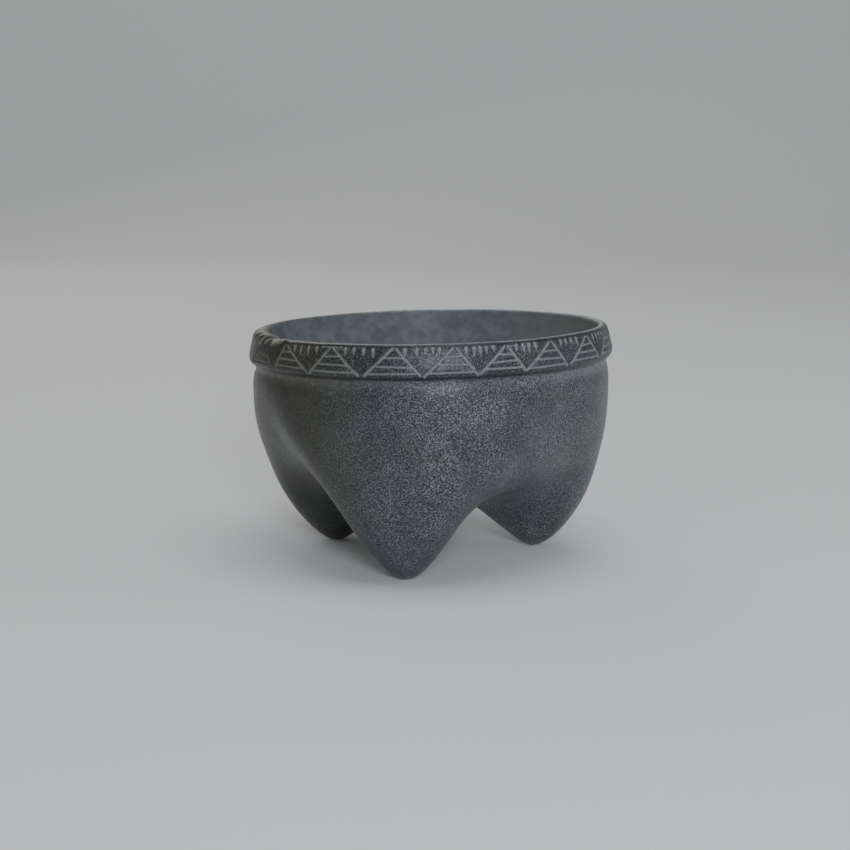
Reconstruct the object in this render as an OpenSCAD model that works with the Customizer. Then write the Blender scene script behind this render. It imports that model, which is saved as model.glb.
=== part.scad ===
// Molcajete: a three-footed basalt mortar with its hand stone (tejolote) lying in the bowl.
// The bowl, the rim band and the three feet are one carved block. The hand stone is loose.
// Millimetres, +Z up. The origin is on the floor under the middle of the bowl.

/* [Stone block] */
// Height of the rim's crest above the floor, at its middle
rim_h = 128.5; // [90:0.5:180]
// Greatest diameter, across the rim band
band_d = 200; // [140:1:300]
// Diameter of the wall's fullest part, below the band
wall_d = 197.2; // [130:0.2:290]
// Diameter of the neck between the band and the wall
neck_d = 193.4; // [130:0.2:290]

/* [Rim band] */
// Lean of the rim from level, in degrees
rim_tilt = 2.4; // [0:0.1:5]
// Direction of the rim's high side, in degrees from +X
rim_high_at = -58; // [-180:1:180]
// Inner diameter of the crest, where the hollow begins
crest_d = 186; // [120:1:280]
// Width of the crest's narrow top
crest_w = 1.2; // [0.4:0.1:4]
// Depth of the band's fullest line below the crest
band_full = 11; // [5:0.5:20]
// Depth of the neck below the crest
neck_drop = 20; // [12:0.5:35]
// Depth of the wall's fullest part below the crest
wall_drop = 33; // [20:0.5:60]

/* [Bowl] */
// Thickness of stone from the floor plane up to the lowest point of the hollow
hollow_floor = 56; // [40:1:90]
// Height of the block's underside at its middle, before the feet flow into it
underside_h = 35.6; // [15:1:60]
// Radius of the bowl's outside before the feet swell it
bowl_r = 95.7; // [60:0.5:130]
// How square the bowl's outside is: 2 is an ellipse
bowl_square = 3; // [2:0.1:5]

/* [Feet] */
// Distance of the front foot's tip from the axis
front_foot_r = 68.8; // [35:0.2:90]
// Distance of the right foot's tip from the axis
right_foot_r = 75; // [35:0.2:90]
// Distance of the left foot's tip from the axis
left_foot_r = 75.2; // [35:0.2:90]
// Direction of the front foot, in degrees from +X
front_foot_at = -102.5; // [-130:0.5:-70]
// Direction of the right foot, in degrees from +X
right_foot_at = 15.5; // [-20:0.5:45]
// Direction of the left foot, in degrees from +X
left_foot_at = 153; // [120:0.5:200]
// Steepness of a foot's two flanks, rise over run
flank_slope = 1.58; // [1:0.01:3]
// Steepness of a foot's inner side, rise over run
inner_slope = 0.89; // [0.6:0.01:2]
// Steepness of a foot's outer side near the tip, rise over run
outer_slope = 0.37; // [0.2:0.01:1.5]
// Roundness of a foot's tip
tip_round = 12.5; // [6:0.5:30]
// Depth worn off each tip, which leaves the small flat it stands on
tip_wear = 0.4; // [0.2:0.05:1.5]
// Share of the wall's radius lost from the shoulder to the floor
taper = 0.287; // [0.15:0.002:0.5]
// How late the taper comes: a high value keeps the wall upright for longer
taper_power = 3.15; // [1.5:0.1:5]
// Blend between the feet and the bowl
foot_blend = 18; // [6:1:30]
// Blend along the edge between a foot's side and its flanks
edge_blend = 16; // [4:1:30]

/* [Pouring lip] */
// Direction of the worn lip, in degrees from +X
lip_at = 203; // [150:1:230]
// Radius of the hollow worn across the crest
lip_r = 26; // [12:1:60]
// Depth of the lip below the crest
lip_depth = 2.2; // [0.5:0.1:5]
// Slant of the lip from straight outwards, in degrees
lip_slant = 20; // [0:1:40]

/* [Hand stone] */
// Radius of the wide, grinding end
head_r = 23; // [15:0.5:32]
// Radius of the narrow, gripped end
grip_r = 15.5; // [10:0.5:28]
// Distance between the centres of the two round ends
stone_span = 46; // [25:1:70]
// Depth worn off the wide end by grinding
face_wear = 4; // [1:0.5:8]
// Direction in which the hand stone lies in the bowl, in degrees from +X
stone_at = 18; // [-180:1:180]
// Gap left between the hand stone and the bowl it lies in
rest_gap = 0.3; // [0.1:0.05:1]

/* [Hidden] */
// pieces, and the one to build
stone_colour = "#4a5054";
hand_colour = "#3f4447";
band_r = band_d / 2;
wall_r = wall_d / 2;
neck_r = neck_d / 2;
crest_r = crest_d / 2;
// the rim leans about the middle of the band's fullest line
pivot_z = rim_h - band_full;
// the ball whose cap is the hollow: it passes through the crest and the hollow's lowest point
hollow_deep = rim_h - hollow_floor;
ball_r = (crest_r * crest_r + hollow_deep * hollow_deep) / (2 * hollow_deep);
ball_up = hollow_floor + ball_r - pivot_z;
ball_at = [
    -ball_up * sin(rim_tilt) * cos(rim_high_at),
    -ball_up * sin(rim_tilt) * sin(rim_high_at),
    pivot_z + ball_up * cos(rim_tilt)
];
// the feet, each as [direction, distance]
feet = [
    [front_foot_at, front_foot_r],
    [right_foot_at, right_foot_r],
    [left_foot_at, left_foot_r]
];
// the shoulder, from which feet and wall begin to taper
shoulder_z = rim_h - 32.5;
bowl_top_z = shoulder_z + 6;
// each foot's side is rounder than the wall by this much at the shoulder, and by more at the floor
lobe_top = 6;
lobe_foot = 20;
// soft edge where the dressed outside cuts the blended feet
dress_blend = 3;
// turns a foot's height error into a distance
foot_scale = 0.65;
// the block starts this far below the crest, hidden inside the band's tail
block_drop = neck_drop + 2;
// the middle from which the block's outside is traced
eye_z = rim_h - block_drop - 15;
// how many lines run down each third of the block, and how many rings go round it
lines_per_third = 30;
rings_to_tip = 26;
rings_under = 15;
// how strongly the lines and rings crowd towards the tips of the feet
crowd = 0.6;
// facets of the round parts
$fn = 180;

// Smallest of a and b, blended over k
function soft_min(a, b, k) =
    let (h = min(1, max(0, 0.5 + 0.5 * (b - a) / k)))
    b * (1 - h) + a * h - k * h * (1 - h);

// Largest of a and b, blended over k
function soft_max(a, b, k) = -soft_min(-a, -b, k);

// Negative inside the rounded bowl
function bowl_field(r, z) =
    let (
        s = max(0, (bowl_top_z - z) / (bowl_top_z - underside_h)),
        size = 0.48 * bowl_r + 0.32 * (bowl_top_z - underside_h),
        reach = pow(pow(r / bowl_r, bowl_square) + s * s, 0.5)
    )
    (reach - 1) * size;

// Negative inside one foot: a side that stands round its own centre, over a rounded ridge sunk by some depth
function foot_field(p, foot, sunk) =
    let (
        t = min(1, max(0, (shoulder_z - p.z) / shoulder_z)),
        side_r = bowl_r * (1 - taper * pow(t, taper_power)),
        lobe = lobe_top + lobe_foot * t,
        out = p.x * cos(foot[0]) + p.y * sin(foot[0]),
        across = p.y * cos(foot[0]) - p.x * sin(foot[0]),
        side = norm([out - lobe, across]) - (side_r - lobe),
        run = out - foot[1],
        along = run * (run < 0 ? inner_slope : outer_slope),
        floor_z = norm([across * flank_slope, along, tip_round]) - tip_round - sunk
    )
    soft_max((floor_z - p.z) * foot_scale, side, edge_blend);

// How far a foot, sunk by some depth, falls short of reaching just below the floor
function foot_short(foot, sunk) = min([
    for (out = [foot[1] - 25:1:foot[1] + 10])
    foot_field([out * cos(foot[0]), out * sin(foot[0]), -tip_wear], foot, sunk)
]);

// Depth that a foot must be sunk by, found by halving
function foot_sink(foot, low, high, n) =
    let (half = (low + high) / 2)
    n == 0 ? high
    : foot_short(foot, half) > 0 ? foot_sink(foot, half, high, n - 1)
    : foot_sink(foot, low, half, n - 1);

// All three feet reach the floor, and a little below it, so that each is left with a flat
sinks = [for (foot = feet) foot_sink(foot, 0, 40, 14)];

// Rise of the leaning rim at a place
function rise(p) = (p.x * cos(rim_high_at) + p.y * sin(rim_high_at)) * tan(rim_tilt);

// Radius that the outside is dressed to: it draws in from the wall to the neck
function dressed_r(drop) =
    let (t = max(0, (wall_drop - drop) / (wall_drop - neck_drop)))
    wall_r - (wall_r - neck_r) * t * t;

// Negative inside the block, below the band
function block_field(p) =
    let (
        r = norm([p.x, p.y]),
        one = soft_min(bowl_field(r, p.z), foot_field(p, feet[0], sinks[0]), foot_blend),
        two = soft_min(one, foot_field(p, feet[1], sinks[1]), foot_blend),
        all = soft_min(two, foot_field(p, feet[2], sinks[2]), foot_blend)
    )
    soft_max(all, r - dressed_r(rim_h + rise(p) - p.z), dress_blend);

// Point at a distance from the eye, turned a round the axis and b down from level
function ray(a, b, d) = [d * cos(a) * cos(b), d * sin(a) * cos(b), eye_z - d * sin(b)];

// Distance from the eye to the block's outside, by halving
function reach(a, b, near, far, n) =
    let (half = (near + far) / 2)
    n == 0 ? half
    : block_field(ray(a, b, half)) < 0 ? reach(a, b, half, far, n - 1)
    : reach(a, b, near, half, n - 1);

// 0 to 1, crowding at both ends, or at one end only
function crowd_both(t) = t - crowd * sin(360 * t) / 360 * 180 / PI;
function crowd_end(t) = t + crowd * sin(180 * t) / 180 * 180 / PI;

// Lines run round the block from foot to foot, rings from the leaning neck down to straight below.
// A ring's place runs from 0 at the neck to 1 straight below.
function start_dip(a) = -atan((rim_h - block_drop + rise([neck_r * cos(a), neck_r * sin(a)]) - eye_z) / neck_r);
function ring_dip(a, place) = start_dip(a) + (90 - start_dip(a)) * place;
mean_start = -atan((rim_h - block_drop - eye_z) / neck_r);
tip_dip = atan(eye_z / ((front_foot_r + right_foot_r + left_foot_r) / 3 - 6));
tip_place = (tip_dip - mean_start) / (90 - mean_start);
turns = [for (i = [0:2]) (feet[(i + 1) % 3][0] - feet[i][0] + 360) % 360];
line_at = [
    for (i = [0:2])
    for (j = [0:lines_per_third - 1])
    feet[i][0] + turns[i] * crowd_both(j / lines_per_third)
];
rings = concat(
    [for (j = [0:rings_to_tip - 1]) tip_place * crowd_end(j / rings_to_tip)],
    [for (j = [0:rings_under - 1]) 1 - (1 - tip_place) * crowd_end(1 - j / rings_under)]
);

module block() {
    // The bowl's outside and the three feet, flowing into one another
    around = len(line_at);
    down = len(rings);
    far = rim_h + band_r;
    outside = [
        for (place = rings)
        for (a = line_at)
        let (b = ring_dip(a, place))
        ray(a, b, reach(a, b, 10, far, 17))
    ];
    points = concat(outside, [ray(0, 90, reach(0, 90, 10, far, 17)), [0, 0, rim_h - block_drop]]);
    under = len(outside);
    side_faces = [
        for (j = [0:down - 2])
        for (i = [0:around - 1])
        let (n = (i + 1) % around, p = j * around, q = p + around)
        each [[p + i, p + n, q + n], [p + i, q + n, q + i]]
    ];
    under_faces = [for (i = [0:around - 1]) [under - around + i, under - around + (i + 1) % around, under]];
    top_faces = [for (i = [0:around - 1]) [(i + 1) % around, i, under + 1]];
    polyhedron(points, concat(side_faces, under_faces, top_faces), convexity = 6);
}

module leaning() {
    // Whatever belongs to the rim leans with it
    translate([0, 0, pivot_z])
    rotate([0, 0, rim_high_at])
    rotate([0, -rim_tilt, 0])
    rotate([0, 0, -rim_high_at])
    translate([0, 0, -pivot_z])
    children();
}

module band() {
    // Outline of the solid rim: crest, rounded face, tucked-in neck and a hidden tail
    start_z = rim_h - block_drop;
    tail_z = start_z - 5;
    crest_out = crest_r + crest_w;
    face_in = band_r - crest_out;
    under_in = band_r - neck_r;
    under_deep = neck_drop - band_full;
    crest_to_full = [
        for (t = [0:10:90]) [crest_out + face_in * sin(t), rim_h - band_full * (1 - cos(t))]
    ];
    full_to_neck = [
        for (t = [15:15:90]) [band_r - under_in * (1 - cos(t)), rim_h - band_full - under_deep * sin(t)]
    ];
    tail = [[neck_r - 0.6, start_z], [neck_r - 3, tail_z], [0, tail_z], [0, rim_h]];
    rotate_extrude()
    polygon(concat(crest_to_full, full_to_neck, tail));
}

module hollow() {
    // The bowl that food is ground in, a cap of one ball
    translate(ball_at)
    sphere(r = ball_r);
}

module lip() {
    // A shallow hollow worn slantwise over the crest, where food is poured and scraped out
    rotate([0, 0, lip_at])
    translate([crest_r, 0, rim_h + lip_r - lip_depth])
    rotate([0, 90, -lip_slant])
    cylinder(h = 60, r = lip_r, center = true);
}

module mortar() {
    // One carved block, worn flat at its three tips
    color(stone_colour)
    difference() {
        union() {
            block();
            leaning() band();
        }
        hollow();
        leaning() lip();
        translate([-band_r, -band_r, -band_r])
        cube([band_d, band_d, band_r]);
    }
}

// The hand stone lies where both its round ends touch the hollow and its weight hangs under the
// ball's centre, so its place follows from the two radii and the span
head_reach = ball_r - rest_gap - head_r;
grip_reach = ball_r - rest_gap - grip_r;
spread = acos(
    (head_reach * head_reach + grip_reach * grip_reach - stone_span * stone_span)
    / (2 * head_reach * grip_reach)
);
// the weight's place along the span, from the wide end
weight_at = 0.33;
weight_x = weight_at * grip_reach * sin(spread);
weight_z = head_reach + weight_at * (grip_reach * cos(spread) - head_reach);
swing = atan2(weight_x, weight_z);
head_at = [-head_reach * sin(swing), 0, -head_reach * cos(swing)];
grip_at = [grip_reach * sin(spread - swing), 0, -grip_reach * cos(spread - swing)];
lean = atan2(grip_at.x - head_at.x, grip_at.z - head_at.z);

module tejolote() {
    // The hand stone, lying in the hollow
    cone = asin((head_r - grip_r) / stone_span);
    worn_z = -(head_r - face_wear);
    worn_at = asin(worn_z / head_r);
    face_edge = head_r * cos(worn_at);
    head_side = [
        for (i = [0:12])
        let (t = worn_at + 6 + (cone - worn_at - 6) * i / 12)
        [head_r * cos(t), head_r * sin(t)]
    ];
    grip_side = [
        for (i = [0:9])
        let (t = cone + (90 - cone) * i / 10)
        [grip_r * cos(t), stone_span + grip_r * sin(t)]
    ];
    outline = concat(
        [[0, worn_z], [face_edge * 0.55, worn_z + 0.25], [face_edge * 0.92, worn_z + 0.9]],
        head_side,
        grip_side,
        [[0, stone_span + grip_r]]
    );
    color(hand_colour)
    translate(ball_at)
    rotate([0, 0, stone_at])
    translate(head_at)
    rotate([0, lean, 0])
    rotate_extrude($fn = 96)
    polygon(outline);
}

mortar();
tejolote();
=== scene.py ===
"""Looks of the molcajete: a three-footed basalt mortar with its hand stone lying in the bowl.

All sizes inside the classes are millimetres; a mesh is scaled to metres when it is made. The stone
is one closed skin: hollow, crest, incised band, neck, and the bowl's outside with its three feet.
"""

import logging
import math
from dataclasses import dataclass, field
from enum import Enum

import bpy
import numpy as np
from mathutils import Euler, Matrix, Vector, noise


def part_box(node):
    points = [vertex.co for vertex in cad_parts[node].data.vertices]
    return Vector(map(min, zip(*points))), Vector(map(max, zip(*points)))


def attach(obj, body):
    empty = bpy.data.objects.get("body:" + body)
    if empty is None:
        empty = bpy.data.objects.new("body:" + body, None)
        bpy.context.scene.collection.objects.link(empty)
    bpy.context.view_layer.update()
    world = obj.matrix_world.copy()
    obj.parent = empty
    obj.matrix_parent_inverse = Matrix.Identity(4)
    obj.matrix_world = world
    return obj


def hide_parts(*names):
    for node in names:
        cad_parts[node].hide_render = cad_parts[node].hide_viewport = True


logging.basicConfig(level=logging.INFO, format="%(name)s: %(message)s")
log = logging.getLogger("molcajete")

MM = 0.001
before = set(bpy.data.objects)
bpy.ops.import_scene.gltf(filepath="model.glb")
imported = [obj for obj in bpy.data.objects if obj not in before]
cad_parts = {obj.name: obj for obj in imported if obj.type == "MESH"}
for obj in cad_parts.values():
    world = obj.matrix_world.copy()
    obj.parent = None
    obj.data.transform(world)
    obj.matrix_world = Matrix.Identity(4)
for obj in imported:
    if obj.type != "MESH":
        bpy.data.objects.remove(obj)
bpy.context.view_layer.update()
Array = np.ndarray
Colour = tuple[float, float, float, float]
Pair = tuple[float, float]
Triple = tuple[float, float, float]
Socket = bpy.types.NodeSocket
# values kept on each stone for its finish: fresh cuts, rubbed places (partly painted highlight and sheen),
# the hollow, the band, painted shade under the band and below the crest
LAYERS = ("cut", "rubbed", "inner", "band", "grime")
# noise lumps per metre along each way; the needles lie along the last one
NEEDLE_SCALE = (2400.0, 2400.0, 720.0)


# ---- small mathematics


def soft_min(a: Array, b: Array, k: float) -> Array:
    """Smallest of two fields, blended.

    Args:
        a: One field.
        b: The other field.
        k: Width of the blend.

    Returns:
        The blended field.
    """
    h = np.clip(0.5 + 0.5 * (b - a) / k, 0.0, 1.0)
    return b * (1 - h) + a * h - k * h * (1 - h)


def soft_max(a: Array, b: Array, k: float) -> Array:
    """Largest of two fields, blended over k."""
    return -soft_min(-a, -b, k)


def smooth(low: float, high: float, x: Array) -> Array:
    """Smooth step from 0 at low to 1 at high."""
    t = np.clip((x - low) / (high - low), 0.0, 1.0)
    return t * t * (3 - 2 * t)


def middle_of(node: str) -> Vector:
    """Middle of a CAD node's box."""
    low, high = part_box(node)
    return (low + high) / 2


def turn_between(a: Array, b: float) -> Array:
    """Signed angle from b to a in degrees, between -180 and 180."""
    return (a - b + 180.0) % 360.0 - 180.0


def rough(points: Array, wave: float, seed: float) -> Array:
    """Soft noise between about -1 and 1 at each point.

    Args:
        points: N x 3 places in millimetres.
        wave: Size of one lump in millimetres.
        seed: Shift that makes one noise unlike another.

    Returns:
        N values.
    """
    return np.array([noise.noise(Vector((p[0] / wave + seed, p[1] / wave, p[2] / wave))) for p in points])


def run_along(points: Array) -> Array:
    """Distance along a line of points, at each of them."""
    return np.concatenate([[0], np.cumsum(np.hypot(*np.diff(points, axis=0).T))])


def layered(count: int, **given: Array | float) -> Array:
    """Values for the finish, 0 in each layer that isn't given.

    Args:
        count: How many points.
        given: Values by the layer's name.

    Returns:
        count x layers values.
    """
    return np.stack([np.broadcast_to(given.get(layer, 0.0), count) for layer in LAYERS], -1)


@dataclass(frozen=True)
class Lumps:
    """Unevenness of two sizes, each (wave, seed, height) in millimetres."""

    large: Triple
    small: Triple

    def at(self, points: Array) -> Array:
        """Height of the lumps at each point."""
        return sum(rough(points, wave, seed) * height for wave, seed, height in (self.large, self.small))


# ---- the stone's shape


@dataclass(frozen=True)
class Lean:
    """How the rim leans from level."""

    tilt: float = 2.4
    high_at: float = -58.0
    pivot_z: float = 117.5

    def rise(self, x: Array, y: Array) -> Array:
        """Height of the leaning rim plane above the level one."""
        a = math.radians(self.high_at)
        return (x * math.cos(a) + y * math.sin(a)) * math.tan(math.radians(self.tilt))

    def place(self, x: Array, y: Array, z: Array) -> Array:
        """Leans points that were made level.

        Args:
            x, y, z: The points' places.

        Returns:
            N x 3 leaning points.
        """
        a, t = math.radians(self.high_at), math.radians(self.tilt)
        along = x * math.cos(a) + y * math.sin(a)
        aside = y * math.cos(a) - x * math.sin(a)
        up = z - self.pivot_z
        far = along * math.cos(t) - up * math.sin(t)
        high = along * math.sin(t) + up * math.cos(t) + self.pivot_z
        leant_x = far * math.cos(a) - aside * math.sin(a)
        leant_y = far * math.sin(a) + aside * math.cos(a)
        return np.stack([leant_x, leant_y, high], -1)


@dataclass(frozen=True)
class Foot:
    """One foot: direction in degrees, and the tip's distance from the axis."""

    at: float
    out: float


@dataclass(frozen=True)
class StoneForm:
    """The bowl's outside and its feet, as one soft field that is negative inside the stone."""

    rim_h: float = 128.5
    wall_r: float = 98.6
    neck_r: float = 96.7
    neck_drop: float = 20.0
    wall_drop: float = 33.0
    block_drop: float = 22.0
    shoulder_drop: float = 32.5
    underside_h: float = 35.6
    bowl_r: float = 95.7
    bowl_square: float = 3.0
    bowl_over: float = 6.0
    wide_share: float = 0.48
    deep_share: float = 0.32
    feet: tuple[Foot, ...] = (Foot(-102.5, 68.8), Foot(15.5, 75.0), Foot(153.0, 75.2))
    flank: float = 1.58
    inner: float = 0.89
    outer: float = 0.37
    steepness: float = 0.65
    tip_round: float = 12.5
    tip_wear: float = 0.4
    tip_search: Pair = (-25.0, 10.0)
    deepest_sink: float = 40.0
    lobe: float = 6.0
    lobe_growth: float = 20.0
    taper: float = 0.287
    taper_power: float = 3.15
    blend: float = 18.0
    edge: float = 16.0
    neck_blend: float = 3.0
    eye_drop: float = 15.0
    first_ring_drop: float = 0.6
    reach: Pair = (10.0, 230.0)
    lean: Lean = Lean()

    @property
    def shoulder_z(self) -> float:
        """Height from which the wall tapers."""
        return self.rim_h - self.shoulder_drop

    def foot(self, x: Array, y: Array, z: Array, foot: Foot, sunk: float) -> Array:
        """Field of one foot: a ridge that slopes to its tip, cut off by the side that all share.

        Args:
            x, y, z: The points' places.
            foot: The foot.
            sunk: How deep it is sunk.

        Returns:
            Values that are negative inside the foot.
        """
        t = np.clip((self.shoulder_z - z) / self.shoulder_z, 0.0, 1.0)
        side_r = self.bowl_r * (1 - self.taper * t**self.taper_power)
        lobe = self.lobe + self.lobe_growth * t
        a = math.radians(foot.at)
        out = x * math.cos(a) + y * math.sin(a)
        across = y * math.cos(a) - x * math.sin(a)
        side = np.hypot(out - lobe, across) - (side_r - lobe)
        run = out - foot.out
        along = run * np.where(run < 0, self.inner, self.outer)
        under = np.sqrt((across * self.flank) ** 2 + along**2 + self.tip_round**2) - self.tip_round - sunk
        return soft_max((under - z) * self.steepness, side, self.edge)

    def sink(self, foot: Foot) -> float:
        """Depth that brings a foot's tip just below the floor, found by halving.

        Args:
            foot: The foot.

        Returns:
            The depth.
        """
        a = math.radians(foot.at)
        out = np.arange(foot.out + self.tip_search[0], foot.out + self.tip_search[1], 0.5)
        x, y, z = out * math.cos(a), out * math.sin(a), np.full_like(out, -self.tip_wear)
        low, high = 0.0, self.deepest_sink
        for _ in range(16):
            half = (low + high) / 2
            short = self.foot(x, y, z, foot, half).min() > 0
            low, high = (half, high) if short else (low, half)
        return high

    def dressed(self, drop: Array) -> Array:
        """Radius of the dressed outside at a depth below the leaning crest."""
        t = np.clip((self.wall_drop - drop) / (self.wall_drop - self.neck_drop), 0.0, None)
        return self.wall_r - (self.wall_r - self.neck_r) * t * t

    def inside(self, x: Array, y: Array, z: Array, sinks: tuple[float, ...]) -> Array:
        """Field of the whole stone below the band.

        Args:
            x, y, z: The points' places.
            sinks: How deep each foot is sunk.

        Returns:
            Values that are negative inside the stone.
        """
        r = np.hypot(x, y)
        top = self.shoulder_z + self.bowl_over
        s = np.clip((top - z) / (top - self.underside_h), 0.0, None)
        size = self.wide_share * self.bowl_r + self.deep_share * (top - self.underside_h)
        whole = (np.sqrt((r / self.bowl_r) ** self.bowl_square + s * s) - 1) * size
        for foot, sunk in zip(self.feet, sinks):
            whole = soft_min(whole, self.foot(x, y, z, foot, sunk), self.blend)
        drop = self.rim_h + self.lean.rise(x, y) - z
        return soft_max(whole, r - self.dressed(drop), self.neck_blend)

    def trace(self, turn: Array, places: Array) -> Array:
        """Points of the outside, on lines round the stone and rings down it.

        Args:
            turn: Directions round the axis, in radians.
            places: Ring places, 0 at the neck to 1 straight below.

        Returns:
            rings x lines x 3 points.
        """
        sinks = tuple(self.sink(foot) for foot in self.feet)
        log.info("feet sunk by %s mm", ", ".join(f"{s:.2f}" for s in sinks))
        eye = self.rim_h - self.block_drop - self.eye_drop
        rise = self.lean.rise(self.neck_r * np.cos(turn), self.neck_r * np.sin(turn))
        first = self.rim_h - self.block_drop - self.first_ring_drop + rise
        start = -np.arctan((first - eye) / self.neck_r)
        dip = start[None, :] + (math.pi / 2 - start[None, :]) * places[:, None]
        a = np.broadcast_to(turn[None, :], dip.shape)
        dx, dy, dz = np.cos(a) * np.cos(dip), np.sin(a) * np.cos(dip), -np.sin(dip)
        near, far = np.full(dip.shape, self.reach[0]), np.full(dip.shape, self.reach[1])
        for _ in range(26):
            half = (near + far) / 2
            solid = self.inside(dx * half, dy * half, eye + dz * half, sinks) < 0
            near, far = np.where(solid, half, near), np.where(solid, far, half)
        d = (near + far) / 2
        return np.stack([dx * d, dy * d, eye + dz * d], -1)


# ---- the incised band


class Mark(Enum):
    """Kinds of cut in the band, each (depth, half width at its start, half width at its end)."""

    STROKE = (0.7, 1.02, 0.88)
    BAR = (0.5, 0.66, 0.66)
    TICK = (0.6, 1.4, 0.4)
    SCRATCH = (0.3, 0.5, 0.4)


@dataclass(frozen=True)
class Cut:
    """One straight cut, from one place to another, each (degrees round, depth below the crest)."""

    kind: Mark
    start: Pair
    end: Pair


@dataclass(frozen=True)
class Pyramid:
    """A barred triangle: its apex, the two ends of its base and the depths of its bars."""

    apex: float
    left: float
    right: float
    bars: tuple[float, ...]
    top: float = 1.9
    base: float = 15.2
    gap: float = 0.55

    def cuts(self) -> list[Cut]:
        """The two strokes and the bars."""
        peak_a, peak_b = self.apex - self.gap, self.apex + self.gap
        found = [
            Cut(Mark.STROKE, (self.left - 0.4, self.base + 0.3), (peak_a, self.top)),
            Cut(Mark.STROKE, (self.right + 0.4, self.base + 0.1), (peak_b, self.top + 0.2)),
        ]
        for i, bar in enumerate(self.bars):
            t = (bar - self.top) / (self.base - self.top)
            a, b = peak_a + (self.left - peak_a) * t, peak_b + (self.right - peak_b) * t
            slant = 0.25 * math.sin(self.apex + 2.1 * i)
            found.append(Cut(Mark.BAR, (a + 0.2, bar - slant), (b - 0.2, bar + slant)))
        return found


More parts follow.
